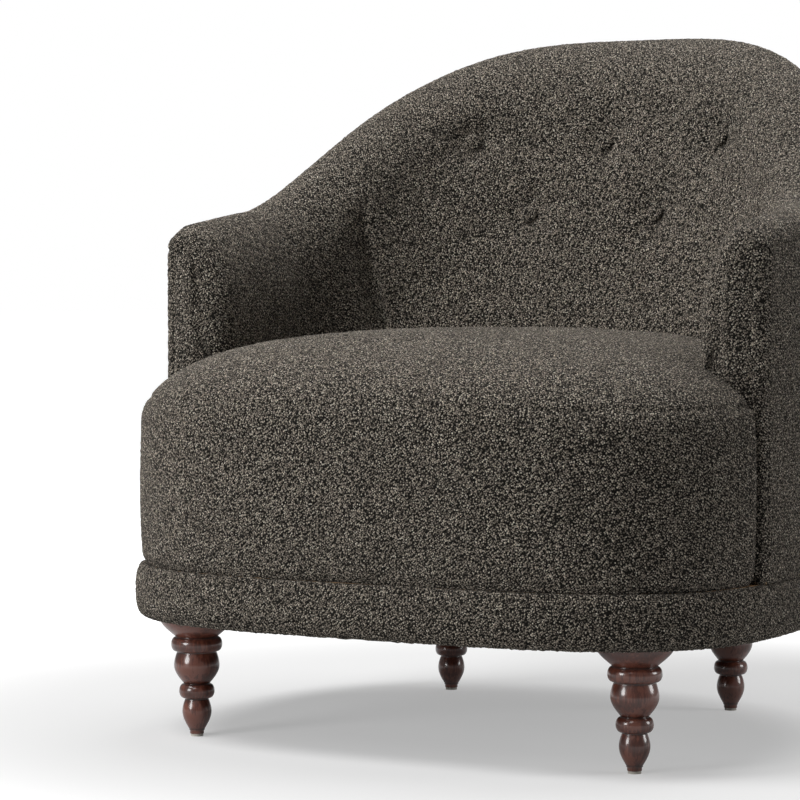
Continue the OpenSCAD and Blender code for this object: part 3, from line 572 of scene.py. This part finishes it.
for side, name in ((-1, "left"), (1, "right")):
    bm = closed(shaped_grid(100, 150, lambda a, b: arm_point(side, a, b)))
    arm = build("inside_arm_upholstery_" + name, bm, boucle)
    woolly(arm)
    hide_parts("arm_foam_" + name, "inside_arm_cover_" + name)


# ---- Buttons -----------------------------------------------------------------------------------
# Five 22 mm buttons: a domed metal shell covered in the same boucle, whose edge is tucked under
# the shell, pulled down by the twine until it is almost level with the fabric round it.


def inside_face(t, z):
    """A point of the inside back's cover."""
    inside, out, width = across(t, z)
    p = inside + out * drawn_in(t, z, inside)
    return Vector((p.x, p.y, z))


dome = [(0, 0), (8.6, 0), (10.2, 0.3), (10.9, 1.1), (11.1, 2.3)]
dome += [(11.1 * math.cos(math.radians(a)) ** 0.7, 2.3 + 3.8 * math.sin(math.radians(a)))
         for a in range(10, 90, 10)]
dome += [(0, 6.1)]
for name, (x0, z0) in zip(("upper_left", "upper_middle", "upper_right", "lower_left",
                           "lower_right"), BUTTONS):
    t = math.degrees(math.asin(power(x0 / INNER_HALF, INNER_ROUND / 2)))
    sideways = inside_face(t + 1, z0) - inside_face(t - 1, z0)
    upwards = inside_face(t, z0 + 0.004) - inside_face(t, z0 - 0.004)
    out = sideways.cross(upwards).normalized()
    placed = Matrix.Translation(inside_face(t, z0) + out * 0.0024)
    facing = out.to_track_quat("Z", "Y").to_matrix().to_4x4()
    button = build("covered_button_" + name, spun(dome, 40, placed @ facing), boucle)
    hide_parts("button_" + name)


# ---- Outside covers ----------------------------------------------------------------------------
# Boucle stretched over the outside of the frame: one piece round the back, one round each arm that
# turns the front corner. Each is blind-stitched under the roll along its top edge and tacked below.

# Height of the base band's top, how far below the ridge the covers end, the turn of the seams
# between back and arms, then the round corner of an arm's front: where its middle lies, its
# radius, and the share of an arm cover's columns before it
BAND_TOP, SHEET_DROP, SIDE_SEAM = 0.204, 0.0282, 60
CORNER_X, CORNER, CORNER_SHARE = 0.38097, 0.014, 0.86


def wall_sheet(way, columns, rows):
    """A cover stretched from the band to the seam under the roll.

    way(a) gives a column's turn, and its degrees round the front corner of the arm."""
    def spot(a, b):
        """A point of the cover, a along it and b of the way up."""
        t, round_corner = way(a)
        z = BAND_TOP + (wall_top(t) - SHEET_DROP - BAND_TOP) * b
        seam = SEAM_DEPTH * (bell(1 - b, 0.006) + bell(b, 0.006))
        if round_corner:
            radius, angle = CORNER - seam - 0.0004, math.radians(round_corner)
            x, y = math.copysign(CORNER_X, t), FRONT + CORNER
            return Vector((x + math.copysign(radius, t) * math.cos(angle),
                           y - radius * math.sin(angle), z))
        from_seam = abs(t) - SIDE_SEAM
        slack = 0.0012 * math.sin(math.pi * b) * (1 + 0.7 * softness(t / 60, z))
        seam = max(seam, SEAM_DEPTH * bell(from_seam, 0.25))
        p = outer(t, z) - across(t, z)[1] * (seam + slack * ramp(abs(from_seam) / 3))
        return Vector((p.x, p.y, z))

    bm = shaped_grid(columns, rows, spot)
    middle = Vector((0, CENTRE, 0.4))
    if sum((f.calc_center_median() - middle).dot(f.normal) for f in bm.faces) < 0:
        bmesh.ops.reverse_faces(bm, faces=bm.faces)
    bmesh.ops.solidify(bm, geom=bm.faces[:], thickness=0.0026)
    bmesh.ops.recalc_face_normals(bm, faces=bm.faces)
    return bm


def outside_back_way(a):
    """The back's columns, from seam to seam, closer towards the seams."""
    u = 2 * a - 1
    return (SIDE_SEAM - 0.05) * (0.3 * u + 0.7 * math.sin(math.pi / 2 * u)), 0


def outside_arm_way(side, a):
    """An arm's columns, from the seam along the arm and round its front corner."""
    if a > CORNER_SHARE:
        return side * (90 + ARM_TURN), 90 * (a - CORNER_SHARE) / (1 - CORNER_SHARE)
    start, end, share = SIDE_SEAM + 0.05, 126.08, a / CORNER_SHARE
    return side * (start + (end - start) * (share + 0.05 * (share - 1) * a)), 0


outside_back = build("outside_back_panel", wall_sheet(outside_back_way, 120, 84), boucle)
woolly(outside_back)
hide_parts("outside_back_cover")

for side, name in ((-1, "left"), (1, "right")):
    bm = wall_sheet(lambda a: outside_arm_way(side, a), 84, 84)
    outside_arm = build("outside_arm_panel_" + name, bm, boucle)
    woolly(outside_arm)
    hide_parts("outside_arm_cover_" + name)


# ---- Arm front panels --------------------------------------------------------------------------
# A padded board covered in boucle closes the front of each arm. Its edge is soft and round along
# the inside and over the top, and meets the outside cover in an upright seam.

# The outline: up the inside and over the top, then straight down the outside and back in, with
# the steps of each part, its outer edge, its middle line, and the height where it goes straight
over, down, inwards = 110, 40, 8
PANEL_EDGE, PANEL_MIDDLE, SHOULDER = 0.3812, 0.352, 0.579
outline = []
for i in range(over + 1):
    q = FRONT_Q + (3 - FRONT_Q) * i / over
    outline.append(arm_front(q, rounding(q), 0))
outline += [Vector((PANEL_EDGE, 0, SHOULDER - (SHOULDER - BAND_TOP) * i / down))
            for i in range(down + 1)]
outline += [Vector((PANEL_EDGE - 0.060 * i / inwards, 0, BAND_TOP)) for i in range(inwards + 1)]


def panel_point(side, a, b):
    """A point of the face: a round its outline, b from there to its upright middle line."""
    i = round(a * len(outline)) % len(outline)
    p = outline[i]
    on_outside = over < i <= over + down + 1
    soft = 0.0012 * ramp((0.590 - p.z) / 0.03) if on_outside else 0.0
    crowned = 0.0050 * ramp(b)
    depth = soft * (1 - math.sin(math.pi / 2 * min(1, b / 0.3))) - crowned
    p = p.lerp(Vector((PANEL_MIDDLE, 0, min(0.56, max(0.24, p.z)))), 0.94 * b)
    return Vector((side * p.x, FRONT + depth, p.z))


for side, name in ((-1, "left"), (1, "right")):
    bm = shaped_grid(len(outline), 20, lambda a, b: panel_point(side, a, b))
    middle_slit = [e for e in bm.edges if e.is_boundary
                   and abs(abs(e.verts[0].co.x) - PANEL_MIDDLE) < 0.005]
    bmesh.ops.holes_fill(bm, edges=middle_slit, sides=0)
    rim = [e for e in bm.edges if e.is_boundary]
    rear_rim = [v for v in bmesh.ops.extrude_edge_only(bm, edges=rim)["geom"]
                if isinstance(v, bmesh.types.BMVert)]
    bmesh.ops.translate(bm, vec=(0, 0.0118, 0), verts=rear_rim)
    panel = build("arm_front_pad_" + name, closed(bm), boucle)
    woolly(panel)
    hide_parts("arm_front_panel_" + name)


# ---- Seat --------------------------------------------------------------------------------------
# A deep, tight seat of foam on the springs, in one boucle cover: a crowned top whose wings wrap the
# fronts of the arms, sewn to a bowed boxing with a plain seam, and tacked to the rails behind the
# top edge of the base band.

# Half the seat's width and that of its part between the arms, the gap between a wing and an arm's
# front, the wing's round rear corner, and the steps of the seat's outline. Then the height of the
# boxing's top, the rise of the crown above it, and the height of the seam.
SEAT_HALF, BETWEEN, GAP, WING_ROUND = 0.397, 0.3052, 0.0003, 0.018
front_steps, in_steps, arm_steps, back_steps = 70, 6, 12, 45
BOXING_TOP, CROWN, SEAM_Z = 0.374, 0.110, 0.403

# The outline in plan, from the middle of the front to the middle of the back, then mirrored. The
# third value is 1 where the seat's side shows and 0 where it lies against arms and back.
seat_way = []
rear = CENTRE - ARM_RUN - GAP
wing_turn = 180 - math.degrees(math.acos(
    ((ARM_RUN + GAP + WING_ROUND) / SEAT_FRONT) ** (SQUARE / 2)))
for i in range(front_steps + 1):
    p = loop(180 + (wing_turn - 180) * i / front_steps, SEAT_HALF, SEAT_FRONT, 1)
    seat_way.append((p.x, p.y, 1.0))
wing = seat_way[-1][0]
for angle in range(10, 91, 10):
    c, s = math.cos(math.radians(angle)), math.sin(math.radians(angle))
    seat_way.append((wing - WING_ROUND * (1 - c), rear - WING_ROUND * (1 - s), c))
for i in range(1, in_steps + 1):
    x = wing - WING_ROUND
    seat_way.append((x + (BETWEEN + 0.004 - x) * i / in_steps, rear, 0.0))
for i in range(1, arm_steps + 1):
    y = rear + (CENTRE - rear) * i / arm_steps
    seat_way.append((BETWEEN + 0.004 * (CENTRE - y) / ARM_RUN, y, 0.0))
for i in range(1, back_steps + 1):
    p = loop(90 - 90 * i / back_steps, BETWEEN, 1, 0.1907, INNER_ROUND)
    seat_way.append((p.x, p.y, 0.0))
seat_way += [(-x, y, shows) for x, y, shows in seat_way[-2:0:-1]]
HUB = Vector((0, rear - 0.020))


def crown(p, share, shows):
    """Height of the seat's top, pressed down by 15 mm where it lies against arms and back.

    share is 1 at its outline and 0 at its hub."""
    reach, n = (SEAT_FRONT, SQUARE) if p.y < CENTRE else (BAND_BACK, ROUND)
    level = ((abs(p.x) / SEAT_HALF) ** n + (abs(p.y - CENTRE) / reach) ** n) ** (1 / n)
    z = BOXING_TOP + CROWN * math.sqrt(max(0, 1 - min(1, level) ** 3.1))
    return z - (1 - shows) * 0.015 * ramp((share - 0.84) / 0.16)


def seat_point(a, b):
    """A point of the seat: a round its outline, b up its side and then in over its top."""
    x, y, shows = seat_way[round(a * len(seat_way)) % len(seat_way)]
    p = Vector((x, y))
    outwards = (p - HUB).normalized()
    if b < 0.3:
        h = b / 0.3
        foot = BAND_TOP + 0.008 * (1 - shows)
        rim = BOXING_TOP + (crown(p, 1, shows) - BOXING_TOP) * (1 - shows)
        z = foot + h * (rim - foot)
        draw = 0.0054 * bell(z - BAND_TOP, 0.006) + 0.0015 * bell(z - BAND_TOP, 0.03)
        draw -= 0.0016 * math.sin(math.pi * h)
        lumps = 0.0012 * ramp(h / 0.2) * softness(x, z, y)
        p = p - outwards * shows * (draw + lumps)
        return Vector((p.x, p.y, z))
    share = math.cos(math.pi / 2 * (b - 0.3) / 0.7)
    p = HUB + (p - HUB) * share
    z = crown(p, share, shows)
    lumps = 0.0014 * ramp((1 - share) / 0.05) * softness(p.x, 0, p.y)
    seam = 0.0018 * shows * bell(z - SEAM_Z, 0.0024)
    p = p - outwards * seam
    return Vector((p.x, p.y, z + lumps - seam * 0.5))


bm = closed(shaped_grid(len(seat_way), 120, seat_point))
seat = build("seat_upholstery", bm, boucle)
woolly(seat)
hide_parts("seat_foam", "seat_cover")


# ---- Base band ---------------------------------------------------------------------------------
# A padded band of the same boucle goes once round the rails under the seat and the outside covers.
# Its top edge is rolled into the seam, and it is pulled under the rails and stapled there.

# The band's section in mm: how far in from its outline in plan, and how high
BAND = ((11.7, 145.5), (11.7, 165), (11.7, 185), (11.7, 203.2), (9.8, 203.7), (7.4, 203.7),
        (5.2, 202.4), (3.4, 199.6), (1.8, 194.5), (0.6, 188), (0.0, 180), (0.0, 170), (0.3, 161),
        (1.4, 153), (3.6, 146.6), (7.0, 142.6), (11.5, 140.6), (15.0, 140.9), (16.6, 142.2),
        (16.4, 144.2), (14.5, 145.3))
BAND_HALF = 0.404


def band_point(a, b):
    """A point of the band: a of the way round the chair, b of the way round its section."""
    t = 360 * a
    inset, z = BAND[round(b * len(BAND)) % len(BAND)]
    shows = ramp((12 - inset) / 8)
    way = loop(t, BAND_HALF, BAND_FRONT, BAND_BACK)
    lumps = 0.0013 * softness(way.x, 0, way.y, 0.11) * shows
    p = loop(t, *(reach - inset / 1000 + lumps for reach in (BAND_HALF, BAND_FRONT, BAND_BACK)))
    return Vector((p.x, p.y, z / 1000 - 0.0012 * shows * softness(way.y, 0, way.x, 0.09)))


bm = shaped_grid(420, len(BAND), band_point)
bmesh.ops.recalc_face_normals(bm, faces=bm.faces)
band = build("base_band_upholstery", bm, boucle)
woolly(band, 2)
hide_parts("base_band")


# ---- Studio ------------------------------------------------------------------------------------
# A pale floor that keeps the chair's soft shadow, with painted shade round the chair and white
# further out for the camera, a key lamp high on the left, a large one above the back, three weak
# ones, and the photograph's camera.


def seen(material, in_gloss):
    """1 for what the camera sees, a share of it for what reflects, and 0 for other light."""
    ray = add(material, "ShaderNodeLightPath").outputs
    return add(material, "ShaderNodeMath", {0: ray["Is Glossy Ray"], 1: in_gloss,
                                            2: ray["Is Camera Ray"]},
               operation="MULTIPLY_ADD").outputs[0]


bm = bmesh.new()
bmesh.ops.create_grid(bm, x_segments=1, y_segments=1, size=30)
mesh = bpy.data.meshes.new("studio_floor")
bm.to_mesh(mesh)
bm.free()
floor = bpy.data.objects.new("studio_floor", mesh)
bpy.context.collection.objects.link(floor)

# Painted studio floor: matt and pale, lifted for the camera until it is white 1.35 m away. Nearer
# the chair the lift is weaker, which paints a grey shade round it.
paper = bpy.data.materials.new("floor_matt_painted_shade")
paper.use_nodes = True
paper.node_tree.nodes.clear()
matt = add(paper, "ShaderNodeBsdfDiffuse", {"Color": srgb("#B0B0B0")})
place = add(paper, "ShaderNodeTexCoord").outputs["Object"]
away = add(paper, "ShaderNodeVectorMath", {0: place}, operation="LENGTH").outputs["Value"]
# Painted shade: the lift falls from 1.0 at 1.35 m to 0.39 within 0.6 m of the chair, greying the
# floor there
lift_leaving_painted_shade = add(paper, "ShaderNodeMapRange", {"Value": away, "From Min": 0.6, "From Max": 1.35,
           "To Min": 0.39, "To Max": 1.0}, interpolation_type="SMOOTHSTEP").outputs[0]
strength = add(paper, "ShaderNodeMath", {0: seen(paper, 0.3), 1: lift_leaving_painted_shade}, operation="MULTIPLY")
lift = add(paper, "ShaderNodeEmission",
           {"Color": srgb("#FFFFFF"), "Strength": strength.outputs[0]})
both = add(paper, "ShaderNodeAddShader", {0: matt.outputs[0], 1: lift.outputs[0]})
add(paper, "ShaderNodeOutputMaterial", {"Surface": both.outputs[0]})
mesh.materials.append(paper)

world = bpy.data.worlds.new("studio_room")
bpy.context.scene.world = world
world.use_nodes = True
world.node_tree.nodes.clear()
level = add(world, "ShaderNodeMapRange", {"Value": seen(world, 0.2), "To Min": 0.01,
                                          "To Max": 1.0}).outputs[0]
sky = add(world, "ShaderNodeBackground", {"Color": srgb("#FFFFFF"), "Strength": level})
add(world, "ShaderNodeOutputWorld", {"Surface": sky.outputs[0]})

# Each lamp is a disc, in metres and watts, aimed at the seat
aim = Vector((0, -0.05, 0.4))
for name, size, watts, spot in (("key_lamp", 1.8, 100, (-1.26, -1.49, 3.46)),
                                ("right_lamp", 1.0, 17, (2.46, 0.92, 0.9)),
                                ("front_lamp", 1.2, 11, (0.2, -2.6, 2.4)),
                                ("low_lamp", 0.8, 17, (-1.0, -2.1, 0.7)),
                                ("rear_lamp", 3.0, 76, (0.16, 1.25, 3.24))):
    data = bpy.data.lights.new(name, "AREA")
    data.shape, data.size, data.energy = "DISK", size, watts
    lamp = bpy.data.objects.new(name, data)
    lamp.location = spot
    lamp.rotation_euler = (aim - Vector(spot)).to_track_quat("-Z", "Y").to_euler()
    bpy.context.collection.objects.link(lamp)

# The camera as solved from the photograph: 2.5 degrees down, from the front right
tilt, heading = 0.0434, 0.49168
eye = bpy.data.cameras.new("photo_camera")
eye.sensor_width, eye.lens = 36, 135.3
camera = bpy.data.objects.new("photo_camera", eye)
camera.location = (1.6120, -3.3214, 0.5553)
camera.rotation_euler = (math.pi / 2 - tilt, 0, heading)
bpy.context.collection.objects.link(camera)
bpy.context.scene.camera = camera
bpy.context.scene.view_settings.view_transform = "Standard"
